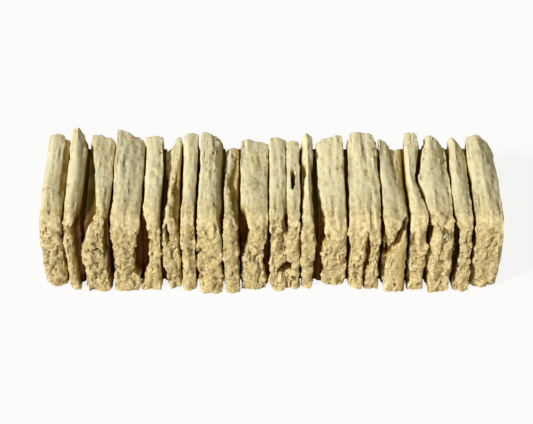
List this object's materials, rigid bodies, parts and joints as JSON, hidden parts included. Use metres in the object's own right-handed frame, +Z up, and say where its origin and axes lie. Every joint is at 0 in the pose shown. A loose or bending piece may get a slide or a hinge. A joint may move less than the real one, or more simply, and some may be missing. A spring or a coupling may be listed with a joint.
{
  "type": "edging stone",
  "caption": "Garden edging block cast in reconstituted stone to look like a row of thin split stones set on edge, with raked joints and a flat underside.",
  "frame": {"origin": "middle of the block's footprint, on the flat underside that rests on the ground", "axes": "+X along the row of stones, to the right as seen from the front; +Y from the rough front to the back; +Z up"},
  "size_m": [0.56, 0.1694, 0.1308],
  "materials": {
    "cast_stone": "matt buff reconstituted stone, smooth as split on top and rough and pitted in front"
  },
  "bodies": {
    "root": {"edging_stone": "cast_stone"}
  },
  "joints": []
}
